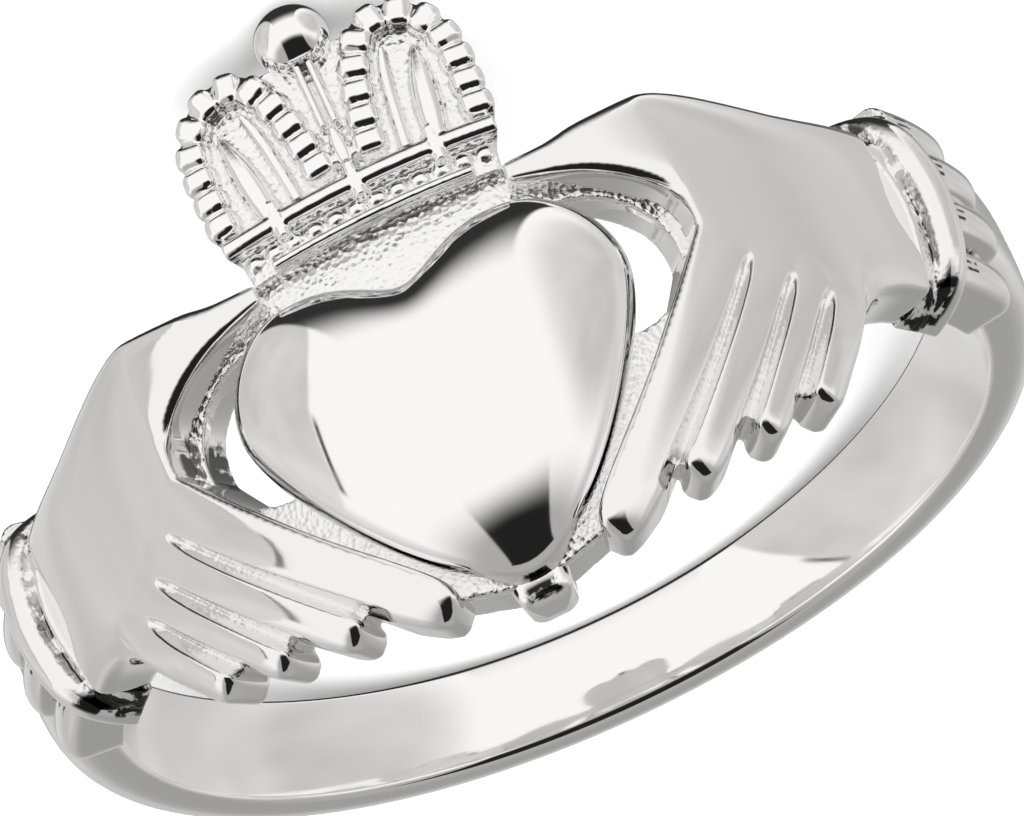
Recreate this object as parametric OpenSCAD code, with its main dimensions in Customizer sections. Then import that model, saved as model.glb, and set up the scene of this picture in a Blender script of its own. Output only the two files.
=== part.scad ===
// A claddagh ring cast in one piece: a crowned heart held by two cuffed hands on a plain band.
// It lies on its crown, as a ring does by itself, with the crown's ball and one edge of the band down.

/* [Finger hole and band] */
// Diameter of the finger hole
finger_d = 17.3; // [15:0.1:21]
// Width of the band at the back
band_w = 2.0; // [1.6:0.1:2.4]
// Thickness of the band at the back
band_t = 1.12; // [0.9:0.02:1.2]
// Width of the band where it runs under the ruffles
shoulder_w = 2.8; // [2.6:0.1:3.4]
// Height of the band's flat flank, below its domed outside
flank_h = 0.35; // [0.2:0.05:0.6]

/* [Heart] */
// Width of the heart, measured round the finger
heart_w = 7.5; // [6.5:0.1:8]
// Length of the heart, from its lobes to its tip
heart_len = 6.65; // [6:0.05:7.2]
// Depth of the notch between the lobes
cleft = 0.8; // [0.4:0.05:1.1]
// How far the lobes pass the middle of the band, towards the crown
heart_lift = 0.22; // [0:0.02:0.4]
// Height of the heart's upright side above the plate
heart_wall = 0.45; // [0.2:0.05:0.7]
// Height of the heart's dome above its side
heart_rise = 1.3; // [0.8:0.05:1.8]
// Length of the tongue that stands out past the heart's tip
tongue_len = 0.35; // [0.2:0.05:0.8]
// Width of the tongue
tongue_w = 1.1; // [0.8:0.05:1.5]

/* [Plate behind the heart] */
// Thickness of the sunk plate
plate_t = 0.95; // [0.7:0.05:1.2]
// Width of the grainy strip between the heart and the first finger
strip_w = 0.43; // [0.3:0.01:0.6]
// Diameter of the round cuts whose crescents stay open beside the heart
window_d = 2.9; // [2.4:0.05:3.4]
// How far a crescent reaches past the heart's side
window_reach = 0.95; // [0.8:0.02:1.1]
// How far below the middle of the band the crescents are centred
window_drop = 1.25; // [1:0.05:1.7]
// Width of the plate's rim between a crescent and the palm
window_rim = 0.4; // [0.25:0.01:0.5]

/* [Hands] */
// Thickness of a hand over the knuckles
hand_t = 1.8; // [1.5:0.05:2.1]
// Thickness of a wrist
wrist_t = 1.05; // [0.9:0.05:1.2]
// Angle round the finger from the heart's middle to the wrist
wrist_angle = 57; // [54:0.5:60]
// How far a hand reaches towards the crown
hand_up = 1.65; // [1.4:0.05:1.9]
// How far a palm reaches past the knuckles
hand_down = 3.9; // [3.6:0.05:4.2]
// Thickness of the fingers at the knuckles
finger_t = 1.72; // [1.4:0.02:2]
// Thickness of the finger tips
tip_t = 1.1; // [0.9:0.05:1.3]
// Angle between the fingers and the band
finger_angle = 55.5; // [53:0.5:58]
// Widths of the four fingers, from the one beside the heart
finger_w = [1.0, 0.83, 0.73, 0.76]; // [0.6:0.01:1.1]
// How far the four tips reach along the fingers, from the heart's middle
finger_reach = [4.45, 3.05, 1.9, 0.85]; // [0.5:0.01:5]
// How far the four tips bend towards the heart
finger_bend = [0.58, 0.33, 0.1, 0]; // [0:0.01:0.8]
// Where the grooves between the fingers begin
knuckle_reach = -1.4; // [-1.8:0.05:-1]
// Thickness of the thumb
thumb_t = 1.6; // [1.3:0.05:1.8]

/* [Cuffs and ruffles] */
// Length of a cuff across the band
cuff_w = 4.45; // [4:0.05:4.8]
// Thickness of a cuff at its middle
cuff_t = 1.65; // [1.5:0.05:1.9]
// How far the cuffs sit from the middle of the band, towards the fingers
cuff_drop = 0.5; // [0.2:0.05:0.7]
// Width of the thin bead next to the wrist
cuff_bead = 0.24; // [0.15:0.01:0.35]
// Width of the channel between the bead and the roll
cuff_channel = 0.5; // [0.35:0.01:0.65]
// Width of the cuff's roll
cuff_roll = 0.74; // [0.6:0.01:0.9]
// Length of a ruffle across the band
ruffle_w = 4.0; // [3.6:0.05:4.3]
// How far a ruffle reaches along the band
ruffle_len = 2.2; // [1.7:0.05:2.6]
// Thickness of a ruffle
ruffle_t = 1.28; // [1.24:0.02:1.4]
// Lobes in a ruffle
lobes = 4; // [3:1:6]

/* [Crown] */
// Width of the crown's foot
crown_w = 5.25; // [4.6:0.05:5.6]
// Length of the crown from its foot to the top of its arches
crown_len = 3.8; // [3.4:0.05:4.2]
// How far the crown's foot stands from the middle of the band
crown_lift = 1.05; // [0.9:0.02:1.2]
// Thickness of the crown's backing
crown_t = 1.2; // [1:0.05:1.4]
// Height of the crown's bars and arches above its backing
crown_relief = 0.38; // [0.25:0.01:0.5]
// Length of the crown's band, from its foot to the top of its bars
crown_band = 0.95; // [0.8:0.05:1.1]
// Width of the beads on the arches
bead_w = 0.6; // [0.45:0.01:0.7]
// Distance from one bead to the next
bead_pitch = 0.46; // [0.4:0.01:0.6]
// Width of a petal under an arch
petal_w = 0.5; // [0.35:0.01:0.6]
// Diameter of the ball on top
ball_d = 1.28; // [1:0.02:1.5]

/* [Hidden] */

bore_r = finger_d / 2;
// the head is laid out on a cylinder of this radius round the finger axis
plan_r = bore_r + 1.35;
// solids start this far inside the finger hole, which trims them
below = -0.3;
// points are placed on a grid this fine, so that pieces either share a point or clearly miss it
grain = 0.002;
band_steps = 60;
few_steps = 4;
round_steps = 6;
wide_steps = 10;

wrist_s = plan_r * wrist_angle * PI / 180;
// the band's ends lie inside the palms
band_from = wrist_angle - 19;

heart_top = heart_lift;
heart_tip = heart_top - heart_len;
heart_mid = [0, heart_top - 0.4 * heart_len];
shoulder_h = plate_t + heart_wall;
tongue_end = heart_tip - tongue_len;
crown_corner = 0.46 * crown_w;

finger_dir = [-cos(finger_angle), -sin(finger_angle)];
finger_side = [sin(finger_angle), -cos(finger_angle)];
palm_s = heart_w / 2 + window_reach + window_rim;

cuff_s = wrist_s + cuff_bead + cuff_channel;
ruffle_s = cuff_s + cuff_roll;

crown_top = crown_lift + crown_len;
crown_face = crown_t + crown_relief;
bar_y = crown_lift + 0.81 * crown_band;
ball_y = crown_top + 0.08;
ball_h = crown_t + 0.1;
head_len = ball_y + ball_d / 2 - tongue_end;

// a place on the head: s millimetres round the finger, y along it, h above the bore
function at(s, y, h) =
    let (a = s / plan_r * 180 / PI)
    [(bore_r + h) * sin(a), y, (bore_r + h) * cos(a)];

function bezier(p, t) =
    let (u = 1 - t)
    u * u * u * p[0] + 3 * u * u * t * p[1] + 3 * u * t * t * p[2] + t * t * t * p[3];

function ease(t) = let (u = min(1, max(0, t))) u * u * (3 - 2 * u);

function total(v, i = 0) = i < len(v) ? v[i] + total(v, i + 1) : 0;

function middle(ring) = [for (k = [0:2]) total([for (p = ring) p[k]]) / len(ring)];

// a power that keeps the sign
function power(v, e) = sign(v) * pow(abs(v), e);

// a closed solid through a row of rings with equal counts of points, clockwise as seen from the first ring
module loft(rings) {
    n = len(rings[0]);
    m = len(rings);
    points = concat([for (r = rings) for (p = r) p], [middle(rings[0]), middle(rings[m - 1])]);
    snapped = [for (p = points) [for (v = p) round(v / grain) * grain]];
    sides = [for (i = [0:m - 2]) for (j = [0:n - 1])
        let (a = i * n, b = a + n, k = (j + 1) % n)
        each [[a + j, b + j, a + k], [a + k, b + j, b + k]]];
    first_end = [for (j = [0:n - 1]) [n * m, j, (j + 1) % n]];
    last_end = [for (j = [0:n - 1]) [n * m + 1, (m - 1) * n + (j + 1) % n, (m - 1) * n + j]];
    polyhedron(snapped, concat(sides, first_end, last_end));
}

// a raised ridge along stations of [s, y, half width, height, rise of its rounded top]
module ridge(stations, steps = round_steps) {
    m = len(stations);
    loft([for (i = [0:m - 1])
        let (c = stations[i],
             p = stations[max(i - 1, 0)],
             q = stations[min(i + 1, m - 1)],
             d = [q[0] - p[0], q[1] - p[1]],
             across = [d[1], -d[0]] / norm(d))
        concat(
            [at(c[0] + across[0] * c[2], c[1] + across[1] * c[2], below),
             at(c[0] - across[0] * c[2], c[1] - across[1] * c[2], below)],
            [for (k = [0:steps])
                let (a = 180 * k / steps,
                     o = c[2] * cos(a),
                     h = c[3] - c[4] + c[4] * sin(a))
                at(c[0] - across[0] * o, c[1] - across[1] * o, h)])]);
}

// a slab across the finger axis, from stations of [s, low y, high y, height, height of its edge]
module cushion(stations) {
    loft([for (c = stations)
        let (mid = (c[1] + c[2]) / 2, half = (c[2] - c[1]) / 2)
        concat(
            [at(c[0], c[1], below), at(c[0], c[2], below)],
            [for (k = [0:wide_steps])
                let (a = 180 * k / wide_steps)
                at(c[0], mid + half * power(cos(a), 0.8), c[4] + (c[3] - c[4]) * power(sin(a), 0.5))])]);
}

// a slab along the finger axis, from stations of [y, half width, height]
module backing(stations) {
    loft([for (c = stations)
        concat(
            [at(c[1], c[0], below), at(-c[1], c[0], below)],
            [for (k = [0:wide_steps]) at(c[1] * (2 * k / wide_steps - 1), c[0], c[2])])]);
}

module both_sides() {
    children();
    mirror([1, 0, 0]) children();
}

// section of the band: [y, height above the bore], round its flat inside and domed outside
function band_section(half) =
    concat([[-half, below], [half, below]],
           [for (k = [0:round_steps])
                let (a = 180 * k / round_steps)
                [half * power(cos(a), 0.55), flank_h + (band_t - flank_h) * sin(a)]]);

function band_half(turn) =
    (band_w + (shoulder_w - band_w) * ease(abs(180 - turn) / (180 - wrist_angle))) / 2;

// the plain band round the back of the finger, ending inside the palms
module band() {
    color("silver")
        loft([for (i = [0:band_steps])
            let (turn = band_from + (360 - 2 * band_from) * i / band_steps)
            [for (p = band_section(band_half(turn)))
                [(bore_r + p[1]) * sin(turn), p[0], (bore_r + p[1]) * cos(turn)]]]);
}

// right half of the heart's outline, from the cleft over the lobe and down to the tip
heart_curves = [
    [[0, heart_top - cleft], [0.12 * heart_w / 2, heart_top - 0.52 * cleft],
     [0.35 * heart_w / 2, heart_top], [0.56 * heart_w / 2, heart_top]],
    [[0.56 * heart_w / 2, heart_top], [0.81 * heart_w / 2, heart_top],
     [heart_w / 2, heart_top - 0.13 * heart_len], [heart_w / 2, heart_top - 0.27 * heart_len]],
    [[heart_w / 2, heart_top - 0.27 * heart_len], [heart_w / 2, heart_top - 0.455 * heart_len],
     [0.37 * heart_w / 2, heart_tip], [0, heart_tip]]];
curve_steps = 7;
heart_half = [for (c = heart_curves) for (k = [0:curve_steps - 1]) bezier(c, k / curve_steps)];
heart_outline = concat([for (p = heart_half) [-p[0], p[1]]], [[0, heart_tip]],
                       [for (k = [len(heart_half) - 1:-1:1]) heart_half[k]]);

// the heart's outline drawn in by a share of its size, rounder towards the middle
function heart_ring(share, h) =
    [for (i = [0:len(heart_outline) - 1])
        let (p = heart_outline[i] - heart_mid,
             a = atan2(p[1], p[0]),
             oval = [0.42 * heart_w * cos(a), 0.38 * heart_len * sin(a)],
             q = heart_mid + share * (share * p + (1 - share) * oval))
        at(q[0], q[1], h)];

dome_steps = 8;
module heart() {
    color("silver")
        loft(concat(
            [heart_ring(1, below), heart_ring(1, shoulder_h)],
            [for (k = [1:dome_steps])
                let (share = cos(86 * k / dome_steps))
                heart_ring(share, shoulder_h + heart_rise * sqrt(1 - pow(share, 2.4)))]));
}

// tongue: [share of its length past the heart's tip, share of its width, share of the plate's thickness]
tongue_table = [[-0.6, 1.1, 1.25], [0.25, 1, 1.15], [0.7, 0.8, 1], [0.93, 0.55, 0.75], [1, 0.35, 0.5]];
tongue_round = 0.3 * plate_t;

// the tongue that joins the finger tips below the heart
module tongue() {
    color("silver")
        ridge([for (c = tongue_table)
            [0, heart_tip - c[0] * tongue_len, c[1] * tongue_w / 2, c[2] * plate_t, tongue_round]]);
}

// half of the sunk plate's outline: [share of the way to the palm, low y, high y]
plate_table = [
    [0, heart_tip - 0.1, crown_lift + 0.3],
    [0.2, heart_tip - 0.05, crown_lift + 0.3],
    [0.5, heart_tip + 0.13 * heart_len, crown_lift + 0.1],
    [0.75, heart_tip + 0.36 * heart_len, 0.6],
    [1, heart_tip + 0.635 * heart_len, 0.2],
    [1.06, heart_tip + 0.7 * heart_len, 0]];
// where the heart's side lies at the crescents, and where the crescents' circles are centred
heart_side = 0.955 * heart_w / 2;
window_s = heart_side + window_reach - window_d / 2;

module plate() {
    color("silver")
        difference() {
            loft([for (i = [1 - len(plate_table):len(plate_table) - 1])
                let (c = plate_table[abs(i)])
                [for (p = [[c[1], below], [c[2], below], [c[2], plate_t], [c[1], plate_t]])
                    at(sign(i) * c[0] * palm_s, p[0], p[1])]]);
            both_sides()
                translate([window_s, -window_drop, 0])
                    cylinder(d = window_d, h = 2 * bore_r, $fn = 48);
        }
}

// thumb: [share of the way from the crown's corner to the palm, low y, high y, height],
// with y as shares of hand_up and the height as a share of thumb_t
thumb_table = [[0, 0.42, 0.66, 0.74], [0.3, 0.27, 0.68, 0.82], [0.5, 0.16, 0.8, 0.88],
               [0.7, 0, 0.87, 0.93], [0.87, -0.2, 0.94, 0.97], [0.96, -0.4, 0.98, 1]];
// palm: [share of the way from its inner end to the wrist, low y, high y, height],
// with y as shares of hand_down and hand_up and the height as a share of the rise from wrist_t to hand_t
palm_table = [[0, 0.5, 1, 0.84], [0.08, 0.7, 1, 0.89], [0.2, 0.84, 0.93, 0.95], [0.32, 0.95, 0.8, 1],
              [0.42, 1, 0.64, 1.02], [0.48, 0.98, 0.55, 1], [0.56, 0.88, 0.44, 0.82],
              [0.68, 0.76, 0.32, 0.48], [0.84, 0.7, 0.2, 0.14], [1.03, 0.68, 0.14, 0]];
// height of the upright side under a hand's rounded back
palm_edge = 0.45;

// the back of a hand, from the thumb's tip at the crown to the wrist
module palm() {
    color("silver")
        cushion(concat(
            [for (c = thumb_table)
                [crown_corner + c[0] * (palm_s - crown_corner), c[1] * hand_up, c[2] * hand_up,
                 c[3] * thumb_t, palm_edge]],
            [for (c = palm_table)
                [palm_s + c[0] * (wrist_s - palm_s), -c[1] * hand_down, c[2] * hand_up,
                 wrist_t + c[3] * (hand_t - wrist_t), palm_edge]]));
}

// the first finger's inner side clears the heart's by the width of the grainy strip
heart_reach = max([for (p = heart_half) p * finger_side]);
function lane(i) = heart_reach + strip_w + total([for (k = [0:1:i - 1]) finger_w[k]]) + finger_w[i] / 2;

// a place along a finger or beside it, which bends towards the heart at its tip
function on_finger(i, share, beside) =
    let (reach = knuckle_reach + share * (finger_reach[i] - knuckle_reach),
         bend = finger_bend[i] * pow(max(share, 0), 2))
    reach * finger_dir + (lane(i) + beside - bend) * finger_side;

// finger: [share of the way from knuckle to tip, share of its width, share of its height above the tip's]
finger_table = [[-0.3, 0.7, 0.5], [0, 0.9, 0.85], [0.25, 0.92, 1], [0.55, 0.94, 0.8], [0.8, 0.88, 0.5],
                [0.92, 0.75, 0.2], [0.98, 0.5, -0.2], [1, 0.3, -0.6]];
web_t = 0.75;

module finger(i) {
    color("silver")
        ridge([for (c = finger_table)
            let (p = on_finger(i, c[0], 0), half = c[1] * finger_w[i] / 2)
            [p[0], p[1], half, tip_t + c[2] * (finger_t - tip_t), 1.05 * half]]);
}

// the floor of the groove between two fingers
module web(i) {
    color("silver")
        ridge([for (c = [[-0.4, 1], [0.3, 1], [0.7, 0.85], [0.9, 0.6]])
            let (p = on_finger(i + 1, c[0], -finger_w[i + 1] / 2))
            [p[0], p[1], 0.25 * finger_w[i], c[1] * web_t * finger_t, 0.1]], few_steps);
}

module hand() {
    palm();
    for (i = [0:len(finger_w) - 1])
        finger(i);
    for (i = [0:len(finger_w) - 2])
        web(i);
}

// how a roll across the band bows: [share of its half length, share of its height]
bow = [[-1, 0.1], [-0.94, 0.4], [-0.8, 0.68], [-0.5, 0.9], [0, 1],
       [0.5, 0.9], [0.8, 0.68], [0.94, 0.4], [1, 0.1]];
// lengths of the bead and the channel, and their heights, as shares of the roll's
bead_share = [0.92, 0.76];
channel_share = [0.95, 0.68];
channel_round = 0.04;
// the rounded top of a roll is never more than this share of its height
round_share = 0.6;
// pieces side by side run this far into each other
lap = 0.05;

module bowed_roll(s, half_w, share, height, rise) {
    low = -cuff_drop - cuff_w / 2;
    ridge([for (c = bow)
        [s, low + share * cuff_w * (c[0] + 1) / 2, half_w, c[1] * height,
         min(rise, round_share * c[1] * height)]]);
}

module cuff() {
    color("silver") {
        bowed_roll(wrist_s + cuff_bead / 2, cuff_bead / 2,
                   bead_share[0], bead_share[1] * cuff_t, cuff_bead / 2);
        bowed_roll(wrist_s + cuff_bead + cuff_channel / 2, cuff_channel / 2 + lap,
                   channel_share[0], channel_share[1] * cuff_t, channel_round);
        bowed_roll(cuff_s + cuff_roll / 2, cuff_roll / 2, 1, cuff_t, cuff_roll / 2);
    }
}

// pleat: [share of the ruffle's length, share of the pleat's width, share of its height]
pleat_table = [[-0.1, 1.1, 1], [0.5, 1.1, 1], [0.8, 1.06, 0.97],
               [0.93, 0.8, 0.88], [0.98, 0.5, 0.7], [1, 0.25, 0.5]];

// one pleat of the ruffle behind the cuff, fading out on the band
module ruffle_lobe(i) {
    width = ruffle_w / lobes;
    y = (i + 0.5) * width - ruffle_w / 2;
    // the pleats' tops follow an arc that is a little longer than the ruffle
    height = ruffle_t * sqrt(1 - pow(y / (0.62 * ruffle_w), 2));
    color("silver")
        ridge([for (c = pleat_table)
            [ruffle_s + c[0] * ruffle_len, y - cuff_drop / 2,
             c[1] * width / 2, c[2] * height, 0.45 * c[1] * width]]);
}

// a place on the crown, as shares of its half width and of its length
function crown_at(u, v) = [u * crown_w / 2, crown_lift + v * crown_len];

arch_curves = [
    [crown_at(0.95, 0.27), crown_at(0.95, 0.4), crown_at(0.97, 0.52), crown_at(0.96, 0.65)],
    [crown_at(0.96, 0.65), crown_at(0.94, 0.88), crown_at(0.69, 0.98), crown_at(0.49, 0.93)],
    [crown_at(0.49, 0.93), crown_at(0.33, 0.89), crown_at(0.22, 0.6), crown_at(0.18, 0.27)]];
arch_fine = [for (c = arch_curves) for (k = [0:11]) bezier(c, k / 12)];
arch_run = [for (i = [0:len(arch_fine) - 1])
    total([for (k = [1:1:i]) norm(arch_fine[k] - arch_fine[k - 1])])];
arch_length = arch_run[len(arch_run) - 1];

// the point a length along the arch
function arch_point(length, i = 1) =
    let (step = arch_run[i] - arch_run[i - 1])
    i < len(arch_run) - 1 && arch_run[i] < length
        ? arch_point(length, i + 1)
        : arch_fine[i - 1] + (arch_fine[i] - arch_fine[i - 1]) * (length - arch_run[i - 1]) / step;

// one bead: [share of its length, share of its width]
bead_table = [[0.02, 0.5], [0.25, 0.95], [0.75, 0.95]];

// how far along a row of beads, counted in beads, its point k lies
function bead_run(k) = floor(k / len(bead_table)) + bead_table[k % len(bead_table)][0];

// a row of joined beads along a list of points, with one more point than the bead's own for each bead
module bead_row(points, width, height, steps = round_steps) {
    ridge([for (k = [0:len(points) - 1])
        let (half = bead_table[k % len(bead_table)][1] * width / 2)
        [points[k][0], points[k][1], half, height - width / 2 + half, half]], steps);
}

module arch() {
    beads = floor(arch_length / bead_pitch);
    // the last point stays just inside the arch's end
    pitch = 0.995 * arch_length / beads;
    color("silver")
        bead_row([for (k = [0:len(bead_table) * beads]) arch_point(bead_run(k) * pitch)],
                 bead_w, crown_face);
}

// petal: [share of its length, share of its width and of its own relief]
petal_table = [[0, 0.8], [0.3, 1], [0.6, 0.9], [0.85, 0.5], [1, 0.1]];
petal_base = crown_t + 0.4 * crown_relief;
// rail: [u, v on the crown, share of its width]
rail_table = [[0.4, 0.25, 1], [0.46, 0.6, 1], [0.52, 0.78, 0.5]];
rail_w = 0.43 * petal_w;
low_face = crown_t + 0.8 * crown_relief;

// the ridged petal under each arch, and the thin rail beside it
module petal() {
    foot = crown_at(0.62, 0.25);
    tip = crown_at(0.73, 0.75);
    color("silver") {
        ridge([for (c = petal_table)
            let (p = foot + c[0] * (tip - foot), half = c[1] * petal_w / 2)
            [p[0], p[1], half, petal_base + c[1] * (crown_face - petal_base), half]]);
        ridge([for (c = rail_table)
            let (p = crown_at(c[0], c[1]), half = c[2] * rail_w / 2)
            [p[0], p[1], half, low_face, 0.9 * half]], few_steps);
    }
}

// where the bars begin and end, as shares of the crown's half width
bar_gaps = [-1, -0.58, 0, 0.58, 1];
bar_w = 0.38 * crown_band;
post_w = 0.05 * crown_w;
// the posts' tops lie this far below the bars'
post_drop = 0.02;
// rim: share of the crown's half width on each side, and its own width
rim_share = 0.74;
rim_w = 0.2 * crown_band;
pearls = 12;
pearl_row = 0.95 * crown_w;
pearl_w = 0.3 * crown_band;

// bars along the crown's band, with a post in each gap, small pearls below and a rim at the foot
module crown_foot() {
    half = crown_w / 2;
    last = len(bar_gaps) - 1;
    color("silver") {
        for (i = [0:last - 1]) {
            from = bar_gaps[i] * half + (i == 0 ? 0 : 0.4 * post_w);
            to = bar_gaps[i + 1] * half - (i == last - 1 ? 0 : 0.4 * post_w);
            ridge([for (c = [0, 0.25, 0.5, 0.75, 1])
                [from + c * (to - from), bar_y, bar_w / 2, crown_face, 0.4 * crown_relief]], few_steps);
        }
        for (i = [1:last - 1])
            ridge([for (v = [0.45, 1.2])
                [bar_gaps[i] * half, crown_lift + v * crown_band, post_w / 2,
                 crown_face - post_drop, post_w / 2]], few_steps);
        ridge([for (u = [-1, -0.5, 0, 0.5, 1])
            [u * rim_share * half, crown_lift + 0.08 * crown_band, rim_w / 2,
             crown_t + 0.7 * crown_relief, rim_w / 2]], few_steps);
        bead_row([for (k = [0:len(bead_table) * pearls])
                     [(bead_run(k) / pearls - 0.5) * pearl_row, crown_lift + 0.4 * crown_band]],
                 pearl_w, crown_t + 0.25 * crown_relief, few_steps);
    }
}

stalk_w = 0.025 * crown_w;
// drop: [v on the crown, share of its width]
drop_table = [[0.24, 0.3], [0.32, 0.8], [0.42, 1], [0.5, 0.3]];
drop_w = 0.07 * crown_w;

// two thin stalks under the ball, and the drop they end in
module crown_stem() {
    color("silver") {
        both_sides()
            ridge([for (v = [0.52, 0.75, 0.95])
                let (p = crown_at(0.045, v))
                [p[0], p[1], stalk_w / 2, low_face, 0.4 * stalk_w]], few_steps);
        ridge([for (c = drop_table)
            let (p = crown_at(0, c[0]), half = c[1] * drop_w / 2)
            [p[0], p[1], half, low_face, half]], few_steps);
    }
}

// the crown's backing: [share of its length, share of its half width]
crown_table = [[0, 0.94], [0.2, 0.97], [0.45, 0.99], [0.65, 0.99], [0.78, 0.91], [0.88, 0.75], [0.95, 0.55]];
module crown() {
    color("silver")
        backing([for (c = crown_table) [crown_lift + c[0] * crown_len, c[1] * crown_w / 2, crown_t]]);
    crown_foot();
    crown_stem();
    both_sides() {
        arch();
        petal();
    }
    color("silver")
        translate(at(0, ball_y, ball_h))
            sphere(d = ball_d, $fn = 20);
}

// the head's underside stands this far back from the finger, so that only the band bears on it
relieved = 0.05;

// the whole casting, whose band is still a little thick on the inside
module casting() {
    band();
    difference() {
        union() {
            plate();
            heart();
            tongue();
            both_sides() {
                hand();
                cuff();
                for (i = [0:lobes - 1])
                    ruffle_lobe(i);
            }
            crown();
        }
        rotate([90, 0, 0])
            cylinder(r = bore_r + relieved, h = 3 * head_len, center = true, $fn = 90);
    }
}

// how far the ring reaches down at a tilt, at its ball and at the band's edge behind the finger
function ball_reach(t) = ball_y * cos(t) - (bore_r + ball_h) * sin(t) + ball_d / 2;
function band_reach(t) =
    max([for (p = band_section(band_w / 2)) p[0] * cos(t) + (bore_r + p[1]) * sin(t)]);

// the tilt at which both touch the surface
function rest_tilt(low, high, left) =
    let (t = (low + high) / 2)
    left == 0 ? t
    : ball_reach(t) > band_reach(t) ? rest_tilt(t, high, left - 1)
    : rest_tilt(low, t, left - 1);

tilt = rest_tilt(5, 30, 30);
// ends of the ring in front and behind as it lies, and the height of its axis
front = -ball_y * sin(tilt) - (bore_r + ball_h) * cos(tilt) - ball_d / 2;
behind = max([for (p = band_section(band_w / 2)) -p[0] * sin(tilt) + (bore_r + p[1]) * cos(tilt)]);

// the whole ring as it lies. The ball's facets fall a hair short of a true round, so the casting is
// brought to its full length.
module ring() {
    translate([0, -(front + behind) / 2, ball_reach(tilt)])
        rotate([90 - tilt, 0, 0])
            rotate([0, 0, 180])
                color("silver")
                    difference() {
                        resize([0, head_len, 0])
                            casting();
                        rotate([90, 0, 0])
                            cylinder(r = bore_r, h = 3 * head_len, center = true, $fn = 96);
                    }
}

ring();
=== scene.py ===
# %% [markdown]
# A claddagh ring is one small silver casting: a heart under a crown, held by two cuffed hands.
# Every visible part is then modelled again, finer, in the same place, so the first cell only
# loads that solid and keeps its box, which is printed beside the finer pieces' box at the end.
# The box is the size that nothing below may outgrow.

# %% Load the measured ring
import math

import bmesh
import bpy
import numpy as np
from mathutils import Matrix, Vector


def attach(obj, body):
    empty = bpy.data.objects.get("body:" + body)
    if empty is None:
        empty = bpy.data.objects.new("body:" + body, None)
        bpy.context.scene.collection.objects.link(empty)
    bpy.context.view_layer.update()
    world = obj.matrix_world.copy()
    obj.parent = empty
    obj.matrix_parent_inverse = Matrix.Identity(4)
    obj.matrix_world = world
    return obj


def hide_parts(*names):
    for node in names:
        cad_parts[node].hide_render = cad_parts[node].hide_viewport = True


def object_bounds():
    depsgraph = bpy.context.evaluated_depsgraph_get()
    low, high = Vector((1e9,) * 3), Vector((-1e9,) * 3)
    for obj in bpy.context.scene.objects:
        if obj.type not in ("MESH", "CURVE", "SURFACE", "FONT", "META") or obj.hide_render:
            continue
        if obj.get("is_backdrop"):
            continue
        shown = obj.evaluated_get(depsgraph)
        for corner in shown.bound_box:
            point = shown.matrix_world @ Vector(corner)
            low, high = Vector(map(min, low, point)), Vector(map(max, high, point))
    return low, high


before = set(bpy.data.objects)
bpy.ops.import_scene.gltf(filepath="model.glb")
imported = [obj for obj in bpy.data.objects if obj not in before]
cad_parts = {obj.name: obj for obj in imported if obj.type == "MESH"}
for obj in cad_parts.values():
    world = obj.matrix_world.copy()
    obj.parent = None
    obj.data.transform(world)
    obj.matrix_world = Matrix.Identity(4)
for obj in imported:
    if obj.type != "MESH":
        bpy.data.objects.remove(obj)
cad_box = [list(corner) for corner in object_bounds()]
print("the solid's box in mm:", [[round(1000 * v, 2) for v in corner] for corner in cad_box])

# %% [markdown]
# A ring maker lays a head out flat and bends it round the finger. The same trick keeps this script
# short: a place on the head is s millimetres round the finger, y along the finger towards the crown
# and h above the inside of the band. One function turns that into a point in space. Everything is
# modelled in millimetres on an upright ring, and laid down on its crown only when it is finished.

# %% The bent drawing plane
bore_r = 8.65
# at this height above the finger hole a length keeps its size when the drawing is bent
true_h = 1.35
plan_r = bore_r + true_h


def at(s, y, h):
    turn = np.asarray(s, float) / plan_r
    r = bore_r + np.asarray(h, float)
    return np.stack(np.broadcast_arrays(r * np.sin(turn), np.asarray(y, float), r * np.cos(turn)), -1)


print("a place 5 mm round the finger and 1 mm high lies at", at(5, 0, 1).round(2).tolist())

# %% [markdown]
# Most parts of the ring are rows of cross-sections, like the ribs of a boat. Blender's grid is
# rolled up into such a skin: each row of the grid goes onto one section, the last column meets the
# first, the doubles are merged and the two ends are filled. Bridging edge loops would give the same
# skin, a pair of sections at a time. A table gives only a few sections, and a spline through them
# supplies the rest, so that the surface has no corners that nobody cut.

# %% Skins and splines
def skin(bm, rings):
    rings = np.asarray(rings)
    rows, columns = rings.shape[0] - 1, rings.shape[1]
    made = bmesh.ops.create_grid(bm, x_segments=columns, y_segments=rows, size=0.5)["verts"]
    for v in made:
        j = round((v.co.x + 0.5) * columns) % columns
        i = round((v.co.y + 0.5) * rows)
        v.co = rings[i][j]
    bmesh.ops.remove_doubles(bm, verts=made, dist=1e-5)
    kept = [v for v in made if v.is_valid]
    ends = list({e for v in kept for e in v.link_edges if e.is_boundary})
    if ends:
        bmesh.ops.holes_fill(bm, edges=ends, sides=0)
    faces = list({f for v in kept for f in v.link_faces})
    bmesh.ops.recalc_face_normals(bm, faces=faces)


def spline(table, fine):
    # the curve passes through every row of the table
    table = np.asarray(table, float)
    last = len(table) - 1
    t = np.linspace(0, last, last * fine + 1)
    i = np.minimum(t.astype(int), last - 1)
    f = (t - i)[:, None]
    p0, p1, p2, p3 = (table[np.clip(i + k, 0, last)] for k in (-1, 0, 1, 2))
    return 0.5 * (2 * p1 + (p2 - p0) * f + (2 * p0 - 5 * p1 + 4 * p2 - p3) * f ** 2
                  + (3 * p1 - p0 - 3 * p2 + p3) * f ** 3)


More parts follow.
